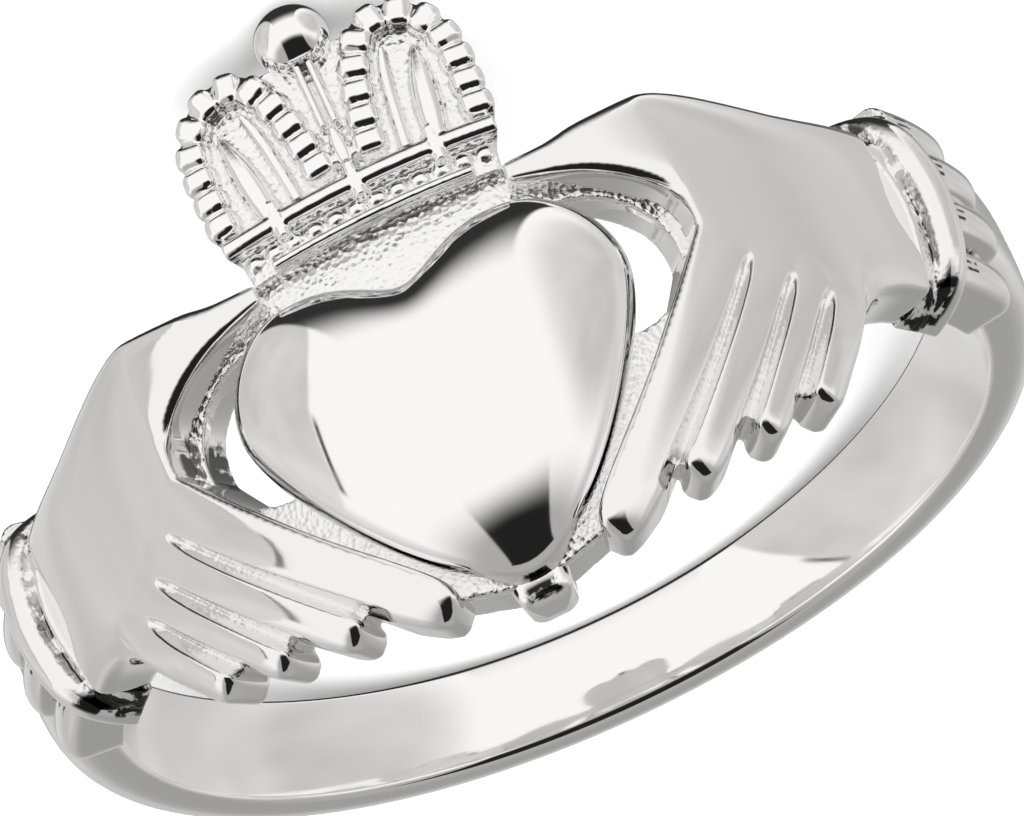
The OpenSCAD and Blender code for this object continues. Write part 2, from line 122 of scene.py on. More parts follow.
# %% [markdown]
# Two kinds of section make nearly all of the head. A ridge follows any line of the flat drawing,
# with upright sides and a rounded top, as a finger or a cuff's roll does. A cushion lies straight
# across the band from one edge to the other, as the back of a hand does. A ridge can also take its
# top from a roof, a height that several ridges share, and then they join without a step.

# %% Ridges and cushions
def power(v, e):
    return np.sign(v) * np.abs(v) ** e


def ridge(bm, table, base=0.0, steps=18, fine=5, lean=0.0, roof=None):
    # columns: s, y, half width, height, rounding, and under a roof the roof's share and the underside
    c = spline(table, fine) if fine > 1 else np.asarray(table, float)
    d = np.gradient(c[:, :2], axis=0)
    across = np.stack([d[:, 1], -d[:, 0]], 1) / np.linalg.norm(d, axis=1)[:, None]
    a = np.pi * np.arange(steps + 1) / steps
    half, height, rise = (np.maximum(c[:, k], 0.005)[:, None] for k in (2, 3, 4))
    out = np.concatenate([half, -half, -half * np.cos(a)], 1)
    s = c[:, 0:1] + across[:, 0:1] * out
    y = c[:, 1:2] + across[:, 1:2] * out
    top, foot = height - lean * half * np.cos(a), 0 * half + base
    if roof:
        share, foot = np.clip(c[:, 5:6], 0, 1), base + np.maximum(c[:, 6:7], 0)
        top = share * roof(s[:, 2:]) + (1 - share) * top
    h = np.concatenate([foot, foot, top - rise + rise * np.sin(a)], 1)
    skin(bm, at(s, y, np.maximum(h, foot)))


def cushion(bm, table, base=0.0, steps=48, fine=8, side=0.6):
    # columns: s, lower y, upper y, height, the edges' height and how full the top is
    c = spline(table, fine)
    a = np.pi * np.arange(steps + 1) / steps
    mid, half = ((c[:, 1] + c[:, 2]) / 2)[:, None], ((c[:, 2] - c[:, 1]) / 2)[:, None]
    height, edge, top = c[:, 3:4], c[:, 4:5], c[:, 5:6]
    y = np.concatenate([mid - half, mid + half, mid + half * power(np.cos(a), side)], 1)
    h = np.concatenate([0 * half + base, 0 * half + base, edge + (height - edge) * np.sin(a) ** top], 1)
    s = np.broadcast_to(c[:, 0:1], y.shape)
    skin(bm, at(s, y, h))


# %% [markdown]
# Cast metal has no seams: wax fills every corner a little before it is cast. A voxel remesh does
# the same to overlapping skins. It melts them into one closed skin, and a few rounds of vertex
# smoothing take the grid's steps out. A Boolean union would join the skins too, but it would keep
# every corner knife sharp. A modifier works on an object, so the skin becomes an object for a
# moment and is taken back as a bmesh.

# %% Melt and smooth
def body_of(bm, name):
    mesh = bpy.data.meshes.new(name)
    bm.to_mesh(mesh)
    bm.free()
    body = bpy.data.objects.new(name, mesh)
    bpy.context.scene.collection.objects.link(body)
    return body


def taken_back(body, *tools):
    bpy.context.view_layer.update()
    result = body.evaluated_get(bpy.context.evaluated_depsgraph_get()).to_mesh()
    bm = bmesh.new()
    bm.from_mesh(result)
    body.to_mesh_clear()
    for used in (*tools, body):
        mesh = used.data
        bpy.data.objects.remove(used)
        bpy.data.meshes.remove(mesh)
    return bm


def smoothed(bm, rounds):
    for _ in range(rounds):
        bmesh.ops.smooth_vert(bm, verts=bm.verts, factor=0.5,
                              use_axis_x=True, use_axis_y=True, use_axis_z=True)


def melted(bm, voxel, rounds):
    body = body_of(bm, "rough")
    remesh = body.modifiers.new("wax", "REMESH")
    remesh.mode = "VOXEL"
    remesh.voxel_size = voxel
    bm = taken_back(body)
    smoothed(bm, rounds)
    return bm


# %% [markdown]
# After melting, a skin is a fine net of points, and it is worked like wax on a mandrel: a point is
# read as s, y and h again, and moved straight in or out. Nothing may stand inside the finger hole,
# so what does is brought out to its wall. Each point also learns how deep it lies in a hollow, by
# comparing the skin with a much smoother copy. The finish reads that value, because a polishing
# wheel reaches the tops and leaves the hollows dull.

# %% Heights and hollows
def ease(t):
    t = np.clip(t, 0, 1)
    return t * t * (3 - 2 * t)


def plan_of(bm):
    co = np.array([v.co[:] for v in bm.verts])
    turn = np.arctan2(co[:, 0], co[:, 2])
    return plan_r * turn, co[:, 1], np.hypot(co[:, 0], co[:, 2]) - bore_r


def set_height(v, h):
    scale = (bore_r + h) / math.hypot(v.co.x, v.co.z)
    v.co.x *= scale
    v.co.z *= scale


def opened(bm, base):
    for v in bm.verts:
        if math.hypot(v.co.x, v.co.z) < bore_r + base:
            set_height(v, base)


def hollows(bm, rounds=24, depth=0.05):
    sharp = np.array([v.co[:] for v in bm.verts])
    normals = np.array([v.normal[:] for v in bm.verts])
    soft = bm.copy()
    smoothed(soft, rounds)
    moved = np.array([v.co[:] for v in soft.verts]) - sharp
    soft.free()
    return ease(np.einsum("ij,ij->i", moved, normals) / depth)


# %% [markdown]
# A finished piece is laid down with the ring and turned from millimetres into metres. The ring
# rests on the ball of its crown and on the back of its band, so it leans by a small angle. Two
# values go along with every point: dull for the grain, and one for the shade that is painted black
# into recesses. The left hand and cuff are mirror copies of the right ones.

# %% Lay down and finish a piece
tilt = math.radians(13.563)
rest_y, rest_z = 0.955622, 3.09909
lying = (Matrix.Scale(0.001, 4) @ Matrix.Translation((0, rest_y, rest_z))
         @ Matrix.Rotation(math.pi / 2 - tilt, 4, "X") @ Matrix.Rotation(math.pi, 4, "Z"))


def finished(bm, name, metal, dull=None, painted_shade=None):
    bmesh.ops.transform(bm, matrix=lying, verts=bm.verts)
    piece = body_of(bm, name)
    mesh = piece.data
    # dull is the grain; the second value is painted shade, black in recesses
    for label, values in (("dull", dull), ("painted_shade", painted_shade)):
        values = np.zeros(len(mesh.vertices)) if values is None else values
        mesh.attributes.new(label, "FLOAT", "POINT").data.foreach_set("value", values.astype(np.float32))
    mesh.shade_smooth()
    mesh.materials.append(metal)
    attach(piece, "root")
    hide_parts("ring")
    print(name, len(mesh.polygons), "faces")


def mirrored(bm):
    other = bm.copy()
    bmesh.ops.scale(other, vec=(-1, 1, 1), verts=other.verts)
    bmesh.ops.reverse_faces(other, faces=other.faces)
    return other


# %% [markdown]
# Silver is a mirror, so its look is mostly what it reflects. Two things make it read as metal that
# was cast and then polished by hand: fine polishing marks that blur a reflection a little, and the
# grainy skin of the mould where no wheel could reach. Both could sit in each material, but as node
# groups that put out plain values they are built once, and two silvers share them. Here one helper
# adds a node, sets it and joins its inputs, and two more start and end a group.

# %% Shader nodes
def node(tree, kind, inputs=(), **settings):
    made = tree.nodes.new("ShaderNode" + kind)
    for label, value in settings.items():
        setattr(made, label, value)
    for socket, value in dict(inputs).items():
        if isinstance(value, bpy.types.NodeSocket):
            tree.links.new(value, made.inputs[socket])
        else:
            made.inputs[socket].default_value = value
    return made


def group(name):
    tree = bpy.data.node_groups.new(name, "ShaderNodeTree")
    place = node(tree, "TexCoord").outputs["Object"]
    return tree, place


def put_out(tree, **values):
    for label in values:
        tree.interface.new_socket(label, in_out="OUTPUT", socket_type="NodeSocketFloat")
    out = tree.nodes.new("NodeGroupOutput")
    for label, value in values.items():
        tree.links.new(value, out.inputs[label])


# %% [markdown]
# Sand or plaster leaves round grains in a casting, about a ninth of a millimetre across and no two
# alike. A Voronoi texture gives the grains and a noise makes them uneven. A coarser noise, cut off
# hard, breaks the painted shade of the recesses into streaks. A polishing wheel leaves marks that
# are long in one direction, so there a noise is stretched, and it changes the roughness only a
# little. Everything reads Object coordinates, so the marks stay on the metal when the ring is moved.

# %% Mould's skin and polishing marks
# how many grains, clouds and folds fit in a metre
grain_scale, cloud_scale, fold_scale = 9000, 5200, 3000
wheel_scale = (400, 2600, 900)
least_blur, most_blur = 0.04, 0.1


def mould_skin():
    tree, place = group("mould skin")
    grains = node(tree, "TexVoronoi", {"Vector": place, "Scale": grain_scale})
    cloud = node(tree, "TexNoise", {"Vector": place, "Scale": cloud_scale, "Detail": 3})
    height = node(tree, "Math", {0: grains.outputs["Distance"], 1: cloud.outputs[0]}, operation="ADD")
    fold = node(tree, "TexNoise", {"Vector": place, "Scale": fold_scale, "Detail": 3, "Distortion": 0.4})
    streak = node(tree, "MapRange", {"Value": fold.outputs[0], "From Min": 0.43, "From Max": 0.5,
                                     "To Min": -1, "To Max": 0})
    put_out(tree, Height=height.outputs[0], Streak=streak.outputs["Result"])
    return tree


def polish_marks():
    tree, place = group("polishing marks")
    stretch = node(tree, "Mapping", {"Vector": place, "Scale": wheel_scale})
    marks = node(tree, "TexNoise", {"Vector": stretch.outputs[0], "Scale": 1, "Detail": 4})
    blur = node(tree, "MapRange", {"Value": marks.outputs[0], "From Min": 0.3, "From Max": 0.75,
                                   "To Min": least_blur, "To Max": most_blur})
    put_out(tree, Roughness=blur.outputs["Result"])
    return tree


mould, polish = mould_skin(), polish_marks()
print("a grain is about", round(1000 / grain_scale, 2), "mm across")

# %% [markdown]
# One recipe makes both silvers. The dull value mixes the wheel's shine with the mould's grain, and
# raises the grain. The other value paints shade: it mixes black into the deepest folds, in streaks,
# so that the relief reads. The heart and band are bright, the hands and cuffs a shade greyer, like
# metal that was only tumbled.

# %% Two silvers
clean, frosted, painted_shade_colour = (0.96, 0.95, 0.94), (0.97, 0.965, 0.955, 1), (0.025, 0.024, 0.023, 1)
grain_blur, grain_height = 0.25, 0.000035


def silver(name, mould, polish, tone):
    metal = bpy.data.materials.new(name)
    metal.use_nodes = True
    tree = metal.node_tree
    grain = node(tree, "Group", node_tree=mould).outputs
    marks = node(tree, "Group", node_tree=polish).outputs
    dull = node(tree, "Attribute", attribute_name="dull").outputs["Fac"]
    painted_shade = node(tree, "Attribute", attribute_name="painted_shade").outputs["Fac"]
    polished = (*(v * tone for v in clean), 1)
    colour = node(tree, "Mix", data_type="RGBA", inputs={0: dull, 6: polished, 7: frosted})
    # painted shade: black is mixed into the colour in recesses, cut into streaks
    painted_shade_strength = node(tree, "Math", {0: painted_shade, 1: grain["Streak"]}, operation="ADD", use_clamp=True)
    colour_with_painted_shade = node(tree, "Mix", data_type="RGBA",
                   inputs={0: painted_shade_strength.outputs[0], 6: colour.outputs[2], 7: painted_shade_colour})
    blur = node(tree, "Mix", {0: dull, 2: marks["Roughness"], 3: grain_blur})
    height = node(tree, "Math", {0: dull, 1: grain["Height"]}, operation="MULTIPLY")
    bump = node(tree, "Bump", {"Strength": 0.6, "Distance": grain_height, "Height": height.outputs[0]})
    shader = tree.nodes["Principled BSDF"]
    shader.inputs["Metallic"].default_value = 1.0
    tree.links.new(colour_with_painted_shade.outputs[2], shader.inputs["Base Color"])
    tree.links.new(blur.outputs[0], shader.inputs["Roughness"])
    tree.links.new(bump.outputs[0], shader.inputs["Normal"])
    print(name, "has", len(tree.nodes), "nodes")
    return metal


metal = silver("polished silver", mould, polish, 1.0)
satin = silver("satin silver", mould, polish, 0.94)

# %% [markdown]
# The band is a plain wire that was rolled flat inside and domed outside. A curve with a bevel
# profile could make it, but its width changes on the way, so it is a skin over many sections. They
# turn round the finger from one wrist to the other, and widen on their way to the ruffles. Under
# the cuffs the band gets narrow, so that it stays hidden inside them.

# %% Band
band_w, shoulder_w, band_t, flank_h = 2.0, 2.8, 1.12, 0.35
wrist_turn = 57.0
wrist_s = plan_r * math.radians(wrist_turn)
band_from = wrist_turn - 9
hidden_turn, hidden_share = 115, 0.42
print("the wrists are", round(wrist_s, 2), "mm round the finger from the heart's middle")


def band_section(half, steps=28, soft=0.12):
    a = np.pi * np.arange(steps + 1) / steps
    inside = [(-half, soft), (-half + 0.3 * soft, 0.3 * soft), (-half + soft, 0),
              (half - soft, 0), (half - 0.3 * soft, 0.3 * soft), (half, soft)]
    dome = [(half * power(math.cos(t), 0.55), flank_h + (band_t - flank_h) * math.sin(t)) for t in a]
    return np.array(inside + dome)


def band_half(turn):
    away = abs(180 - turn)
    full = (band_w + (shoulder_w - band_w) * float(ease(away / (180 - wrist_turn)))) / 2
    return full * (1 - hidden_share * float(ease((away - hidden_turn) / 9)))


def make_band():
    bm = bmesh.new()
    rings = []
    for turn in np.linspace(band_from, 360 - band_from, 241):
        section = band_section(band_half(turn))
        rings.append(at(plan_r * math.radians(turn) + 0 * section[:, 1], section[:, 0], section[:, 1]))
    skin(bm, rings)
    finished(bm, "band", metal)


make_band()

# %% [markdown]
# The heart's outline could be cut from circles, but a cast heart has no plain arc in it. Three
# curves draw half of it instead: from the notch up to the lobe's top, round the lobe, and down to
# the tip. The other half is the same points mirrored.

# %% Outline of the heart
heart_w, heart_len, cleft, heart_top = 7.5, 6.65, 0.8, 0.22
heart_tip = heart_top - heart_len
heart_mid = np.array([0, heart_top - 0.4 * heart_len])
side = heart_w / 2
lobe_top, lobe_side = (0.56 * side, heart_top), (side, heart_top - 0.27 * heart_len)


def bezier(p, t):
    p = np.asarray(p, float)
    t = np.asarray(t, float)[:, None]
    u = 1 - t
    return u ** 3 * p[0] + 3 * u * u * t * p[1] + 3 * u * t * t * p[2] + t ** 3 * p[3]


heart_curves = [
    [(0, heart_top - cleft), (0.11 * side, heart_top - cleft), (0.24 * side, heart_top), lobe_top],
    [lobe_top, (0.81 * side, heart_top), (side, heart_top - 0.13 * heart_len), lobe_side],
    [lobe_side, (side, heart_top - 0.455 * heart_len), (0.37 * side, heart_tip), (0, heart_tip)]]
heart_half = np.concatenate([bezier(c, np.arange(28) / 28) for c in heart_curves])
heart_outline = np.concatenate([heart_half * (-1, 1), [[0, heart_tip]], heart_half[:0:-1]])
print("the heart's outline has", len(heart_outline), "points and is", heart_w, "by", heart_len, "mm")

# %% [markdown]
# The heart is the brightest thing on the ring: an upright side, a soft shoulder and a high dome. An
# inset and a bevel would keep a ridge from the notch to the tip, and a mirror shows every ridge. So
# the outline is shrunk in rings towards the middle, rounder as it goes, and each ring is lifted.
# The same rings close the heart below, along the finger hole.

# %% Heart
plate_t, heart_wall, heart_rise, heart_soft, heart_base = 0.95, 0.45, 1.3, 0.06, 0.03
shoulder_h = plate_t + heart_wall
dome_full = 2.4
smallest = 0.001


def heart_ring(share, h):
    p = heart_outline - heart_mid
    a = np.arctan2(p[:, 1], p[:, 0])
    oval = np.stack([0.42 * heart_w * np.cos(a), 0.38 * heart_len * np.sin(a)], 1)
    q = heart_mid + share * (share * p + (1 - share) * oval)
    return at(q[:, 0], q[:, 1], h)


def make_heart(under=12, over=40):
    bm = bmesh.new()
    rings = [heart_ring(max(k / under, smallest), heart_base) for k in range(under + 1)]
    rings += [heart_ring(1, plate_t), heart_ring(1, shoulder_h - heart_soft)]
    for k in range(1, over + 1):
        share = math.cos(math.pi / 2 * k / over)
        rise = heart_rise * math.sqrt(1 - share ** dome_full)
        rings.append(heart_ring(max(share, smallest), shoulder_h + rise))
    skin(bm, rings)
    opened(bm, heart_base)
    finished(bm, "heart", metal)


make_heart()

# %% [markdown]
# Each hand comes out of its cuff, lays its four fingers side by side under the heart and reaches
# its thumb up to the crown. This cell holds only its sizes. The thumb and the palm are rows across
# the band, and each finger is a row of widths and heights along its own lane. The lanes start
# where the heart's slanted side ends, one strip of plate away from it.

# %% Sizes of a hand
window_reach, window_rim, strip_w = 0.95, 0.4, 0.43
palm_s = heart_w / 2 + window_reach + window_rim
hand_up, hand_down, thumb_t, palm_edge, hand_base = 1.65, 3.9, 1.6, 0.45, 0.02
finger_t, tip_t, finger_turn, knuckle_reach, root_len = 1.72, 1.1, math.radians(55.5), -1.4, 1.7
finger_w = [1.0, 0.83, 0.73, 0.76]
finger_reach = [4.45, 3.05, 1.9, 0.85]
finger_bend = [0.58, 0.33, 0.1, 0.0]
finger_lean = 0.33
crown_w = 5.25
crown_corner = 0.46 * crown_w
roof_t, roof_s, roof_fall, wrist_fall_s, wrist_fall = 1.82, 4.9, 0.09, 6.5, 0.012

# share of the way from the crown, lower edge, upper edge, height
thumb_table = [[0, 0.42, 0.66, 0.86], [0.3, 0.27, 0.68, 1.0], [0.5, 0.16, 0.77, 1.06],
               [0.7, 0, 0.84, 1.09], [0.87, -0.2, 0.9, 1.11], [0.96, -0.4, 0.93, 1.12],
               [0.99, -0.68, 0.94, 1.12]]
# share of the way to the wrist, lower edge, upper edge
palm_table = [[0, 0.5, 0.95], [0.08, 0.7, 0.955], [0.2, 0.84, 0.92], [0.32, 0.95, 0.83],
              [0.42, 1, 0.74], [0.48, 0.98, 0.69], [0.56, 0.88, 0.63], [0.68, 0.76, 0.58],
              [0.84, 0.7, 0.56], [1.03, 0.68, 0.56]]
# share of the finger's length, width, height, share of the hand's roof
finger_table = [[-0.6, 0.9, 0.5, 0.85], [-0.3, 1, 0.8, 0.95], [-0.05, 1.03, 1, 1], [0.15, 1.03, 1, 0.8],
                [0.35, 1.03, 1, 0.4], [0.55, 1, 0.97, 0.1], [0.78, 0.97, 0.88, 0], [0.88, 0.91, 0.82, 0],
                [0.94, 0.81, 0.76, 0], [0.98, 0.62, 0.64, 0], [0.995, 0.42, 0.35, 0], [1, 0.25, -0.3, 0]]

finger_dir = np.array([-math.cos(finger_turn), -math.sin(finger_turn)])
finger_side = np.array([math.sin(finger_turn), -math.cos(finger_turn)])
heart_reach = float((heart_half @ finger_side).max())
print("the first finger's lane starts", round(heart_reach + strip_w, 2), "mm from the middle")

# %% [markdown]
# The back of the hand is one cushion, and each finger is a broad ridge that starts deep in it. If
# both had a height of their own, a step would show at every knuckle. So one roof gives the height
# of the back and of the fingers' roots, and it falls away gently towards the wrist. Only towards
# the tips does a finger leave the roof, lean over like a shingle, and lift off the plate.

# %% Skins of a hand
def lane(i):
    return heart_reach + strip_w + sum(finger_w[:i]) + finger_w[i] / 2


def on_finger(i, share, beside=0.0):
    reach = knuckle_reach + share * (finger_reach[i] - knuckle_reach if share > 0 else root_len)
    bend = finger_bend[i] * max(share, 0) ** 2
    return reach * finger_dir + (lane(i) + beside - bend) * finger_side


def hand_roof(s):
    return roof_t - roof_fall * (s - roof_s) - wrist_fall * np.maximum(s - wrist_fall_s, 0) ** 2


def finger_top(share, s):
    t = np.array(finger_table)
    back = np.interp(share, t[:, 0], t[:, 3])
    own = tip_t + np.interp(share, t[:, 0], t[:, 2]) * (finger_t - tip_t)
    return back * hand_roof(s) + (1 - back) * own


def finger_rows(i):
    rows = []
    for share, wide, high, back in finger_table:
        p, half = on_finger(i, share), wide * finger_w[i] / 2
        if i == 3:
            # the little finger's root gets narrow, to stay inside the palm
            half *= 1 - 0.4 * ease((-0.05 - share) / 0.5)
        soft = 0.5 if i == 0 else 0.25 + 0.25 * ease((share - 0.3) / 0.5)
        rise = soft * half * (1 - 0.8 * back)
        lift = 0.5 * ease((share - 0.7) / 0.25)
        rows.append([p[0], p[1], half, tip_t + high * (finger_t - tip_t), rise, back, lift])
    return rows


def hand_skins():
    bm = bmesh.new()
    rows = []
    for share, low, high, height in thumb_table:
        s = crown_corner + share * (palm_s - crown_corner)
        rows.append([s, low * hand_up, high * hand_up, height * thumb_t, palm_edge, 0.1])
    for share, low, high in palm_table:
        s = palm_s + share * (wrist_s - palm_s)
        full = 0.1 + 0.14 * ease(share / 0.3)
        rows.append([s, -low * hand_down, high * hand_up, hand_roof(s), palm_edge, full])
    cushion(bm, rows, base=hand_base)
    for i in range(len(finger_w)):
        ridge(bm, finger_rows(i), base=hand_base, steps=24, lean=finger_lean, roof=hand_roof)
    return bm


# %% [markdown]
# The grooves between the fingers are cut last, as an engraver cuts them in the wax: every point
# near a groove's line is pressed down to the groove's floor. A groove starts as a hairline at the
# knuckle, and gets wider and deeper towards the tips. Its floor keeps the mould's grain, and its
# open end gets painted shade, black.

# %% Cut the grooves
# share of the finger's length, half width, depth
groove_table = np.array([[-0.1, 0.05, 0.0], [0.0, 0.1, 0.09], [0.1, 0.14, 0.2], [0.3, 0.155, 0.28],
                         [0.5, 0.16, 0.33], [0.85, 0.18, 0.42], [1.04, 0.18, 0.5]])


def carve_grooves(bm, steps=120):
    s, y, h = plan_of(bm)
    cut, groove_end_shade = np.zeros(len(h)), np.zeros(len(h))
    shares = np.linspace(groove_table[0, 0], groove_table[-1, 0], steps)
    for i in (1, 2, 3):
        line = np.array([on_finger(i, t, -finger_w[i] / 2) for t in shares])
        near = np.hypot(s[:, None] - line[:, 0], y[:, None] - line[:, 1])
        share = shares[near.argmin(1)]
        half = np.interp(share, groove_table[:, 0], groove_table[:, 1])
        depth = np.interp(share, groove_table[:, 0], groove_table[:, 2])
        here = 0.5 + 0.5 * np.cos(np.pi * np.minimum(near.min(1) / half, 1))
        floor = finger_top(np.minimum(share, 0.9), s) - depth
        deep = here * np.maximum(h - floor, 0)
        h = h - deep
        cut = np.maximum(cut, ease(2 * here - 0.6) * ease(deep / 0.1))
        # painted shade: black at the open end of each groove
        groove_end_shade = np.maximum(groove_end_shade, ease(2.5 * here - 0.8) * ease((share - 0.86) / 0.1) * (deep > 0.03))
    for v, new in zip(bm.verts, h):
        set_height(v, new)
    return cut, groove_end_shade


# %% [markdown]
# The right hand is melted, smoothed for long, because a palm has no edges, and grooved. The left
# one could be modelled too, but a mirror copy is surer to match. It has one thing of its own:
# painted shade, black, along the lower rim of its window.

# %% Both hands
rim_s, rim_y, rim_top = (4.85, 5.35), (-2.1, -0.3), 1.5


def within(x, low, high, soft_low, soft_high):
    # 1 between low and high, with a soft step at each end
    return ease((x - low) / soft_low) * ease((high - x) / soft_high)


def window_edge(s, y, h):
    return within(s, *rim_s, 0.1, 0.15) * within(y, *rim_y, 0.3, 0.4) * ease((rim_top - h) / 0.15)


def make_hands():
    bm = melted(hand_skins(), voxel=0.0415, rounds=16)
    cut, groove_end_shade = carve_grooves(bm)
    smoothed(bm, 1)
    opened(bm, hand_base)
    # painted shade along the lower rim of the window, used on the left hand only
    rim_shade = window_edge(*plan_of(bm))
    dull = np.maximum(0.4 * hollows(bm), 0.35 * cut)
    finished(mirrored(bm), "hand_left", satin, dull, np.maximum(groove_end_shade, 0.9 * rim_shade))
    finished(bm, "hand_right", satin, dull, groove_end_shade)


make_hands()

# %% [markdown]
# A cuff is a thin bead at the wrist, a channel and a fat roll, all bowed over the band. Behind it
# a ruffle of four pleats fades out on the band. Bevelled curves could make them, but they would be
# round below too and stand in the finger hole. So all of them are ridges: the rolls run across the
# band, with their heights from one bow, and the pleats run along it.

# %% Skins of a cuff
cuff_w, cuff_t, cuff_drop, cuff_base = 4.45, 1.65, 0.5, 0.01
cuff_bead, cuff_channel, cuff_roll = 0.24, 0.5, 0.74
cuff_s = wrist_s + cuff_bead + cuff_channel
ruffle_s = cuff_s + cuff_roll
ruffle_w, ruffle_len, ruffle_t, lobes = 4.0, 2.2, 1.28, 4
pleat_w = ruffle_w / lobes
# place across the band, height
bow = [[-1, 0.1], [-0.94, 0.4], [-0.8, 0.68], [-0.5, 0.9], [0, 1],
       [0.5, 0.9], [0.8, 0.68], [0.94, 0.4], [1, 0.1]]
# share of the pleat's length, width, height
pleat_table = [[-0.1, 1.1, 1], [0.5, 1.1, 1], [0.8, 1.06, 0.97], [0.93, 0.8, 0.88],
               [0.98, 0.5, 0.7], [1, 0.25, 0.5]]


def bowed_roll(bm, s, half, share, height, rise):
    low = -cuff_drop - cuff_w / 2
    rows = []
    for place, bowed in bow:
        y = low + share * cuff_w * (place + 1) / 2
        rows.append([s, y, half, bowed * height, min(rise, bowed * height)])
    ridge(bm, rows, base=cuff_base)


def cuff_skins():
    bm = bmesh.new()
    bowed_roll(bm, wrist_s + cuff_bead / 2, 0.34 * cuff_bead, 0.84, 0.84 * cuff_t, cuff_bead / 3)
    bowed_roll(bm, wrist_s + cuff_bead + cuff_channel / 2, cuff_channel / 2 + 0.05,
               0.88, 0.68 * cuff_t, 0.04)
    bowed_roll(bm, cuff_s + cuff_roll / 2, cuff_roll / 2, 1, cuff_t, cuff_roll / 2)
    for i in range(lobes):
        y = (i + 0.5) * pleat_w - ruffle_w / 2
        height = (ruffle_t + 0.1) * math.sqrt(1 - (y / (0.66 * ruffle_w)) ** 2)
        rows = [[ruffle_s + share * ruffle_len, y - cuff_drop / 2, 0.93 * wide * pleat_w / 2, high * height,
                 0.36 * wide * pleat_w] for share, wide, high in pleat_table]
        ridge(bm, rows, base=cuff_base)
    return bm


# %% [markdown]
# The pleats melt together, so the creases between them are pressed in again. Shade is painted
# black where it falls: in three short strokes on each pleat that stand for engraved cuts, in the
# creases, along both sides of the channel, at its upper end and in the low corner.

# %% Both cuffs
crease_depth, crease_half = 0.16, 0.13


def pleats(y):
    # how far along its pleat a point lies, how far from the nearest crease, and if that is an inner one
    middle = y + cuff_drop / 2
    place = (middle + ruffle_w / 2) / pleat_w % 1
    return place, np.minimum(place, 1 - place) * pleat_w, np.abs(middle) < 1.5 * pleat_w


def pressed(bm):
    s, y, h = plan_of(bm)
    _, gap, inner = pleats(y)
    press = crease_depth * ease(1 - gap / crease_half) * ease((s - ruffle_s - 0.02) / 0.06) * inner
    for v, new in zip(bm.verts, h - press * np.clip(h / ruffle_t, 0, 1)):
        set_height(v, new)


def stroke_and_crease_shade(s, y):
    # painted shade: three dark strokes on each pleat for engraved cuts, and dark creases between pleats
    place, gap, inner = pleats(y)
    strokes = [ease(1 - np.abs(place - c) * pleat_w / 0.045) for c in (0.35, 0.5, 0.65)]
    bars = within(s, ruffle_s + 0.06, ruffle_s + 0.55, 0.04, 0.05) * np.maximum.reduce(strokes)
    crease = within(s, ruffle_s - 0.02, ruffle_s + 1.3, 0.04, 0.3) * ease(1 - gap / 0.05) * inner
    return np.maximum(bars, crease)


def make_cuffs():
    bm = melted(cuff_skins(), voxel=0.035, rounds=3)
    pressed(bm)
    opened(bm, cuff_base)
    s, y, _ = plan_of(bm)
    channel = within(s, wrist_s + 0.7 * cuff_bead, cuff_s + 0.05, 0.06, 0.06)
    # painted shade, black: in the low corner, at the channel's upper end, along its sides and in the strokes
    # and creases
    low_corner_shade = ease((-cuff_drop - 0.37 * cuff_w - y) / 0.1) * ease((cuff_s + 0.5 * cuff_roll - s) / 0.1)
    upper_end_shade = ease((y + cuff_drop - 0.3 * cuff_w) / 0.2)
    seam_shade = np.maximum.reduce([ease(1 - np.abs(s - seam) / 0.05)
                               for seam in (wrist_s + cuff_bead, cuff_s - 0.03)])
    dull = np.maximum(0.4 * hollows(bm), 0.6 * channel)
    painted_shade = np.maximum.reduce([low_corner_shade, channel * upper_end_shade, 1.2 * seam_shade, 1.75 * stroke_and_crease_shade(s, y)])
    finished(mirrored(bm), "cuff_left", satin, dull, painted_shade)
    finished(bm, "cuff_right", satin, dull, painted_shade)


make_cuffs()

# %% [markdown]
# Behind the heart lies a sunk plate with the mould's own grain. On the real ring a round drill
# leaves a crescent open on each side of the heart. The same is done here: two cones with equal
# ends are the drills, and a Boolean takes them out before the plate is melted.

# %% Plate
crown_lift = 1.05
window_d, window_drop = 2.9, 1.25
window_s = 0.955 * side + window_reach - window_d / 2
# share of the way to the palm, lower edge, upper edge
plate_table = [[0, heart_tip + 0.02, crown_lift + 0.3], [0.2, heart_tip + 0.22, crown_lift + 0.3],
               [0.5, heart_tip + 0.13 * heart_len, crown_lift + 0.1],
               [0.75, heart_tip + 0.36 * heart_len, 0.6],
               [1, heart_tip + 0.635 * heart_len, 0.2], [1.06, heart_tip + 0.7 * heart_len, 0]]


def plate_skins():
    bm = bmesh.new()
    rows = [[-share, low, high] for share, low, high in plate_table[:0:-1]] + plate_table
    heights = np.array([0, 0, plate_t, plate_t])
    skin(bm, [at(share * palm_s, np.array([low, high, high, low]), heights)
              for share, low, high in spline(rows, 10)])
    return bm


def drilled(bm):
    body = body_of(bm, "drilled")
    drills = []
    for sign in (-1, 1):
        hole = bmesh.new()
        place = Matrix.Translation((sign * window_s, -window_drop, bore_r))
        bmesh.ops.create_cone(hole, cap_ends=True, segments=96, radius1=window_d / 2, radius2=window_d / 2,
                              depth=2 * bore_r, matrix=place)
        drill = body_of(hole, "drill")
        cut = body.modifiers.new("drill", "BOOLEAN")
        cut.operation = "DIFFERENCE"
        cut.object = drill
        cut.solver = "EXACT"
        drills.append(drill)
    return taken_back(body, *drills)


def make_plate():
    bm = melted(drilled(plate_skins()), voxel=0.045, rounds=4)
    opened(bm, 0)
    _, _, h = plan_of(bm)
    finished(bm, "plate", metal, dull=ease((h - plate_t + 0.15) / 0.1))


make_plate()

# %% [markdown]
# A small tongue joins the fingertips below the heart. A bevelled block could stand for it, but a
# ridge follows the bend round the finger by itself. It runs down from under the heart's tip and
# gets lower and narrower, with a little painted shade, black, where it meets the heart.

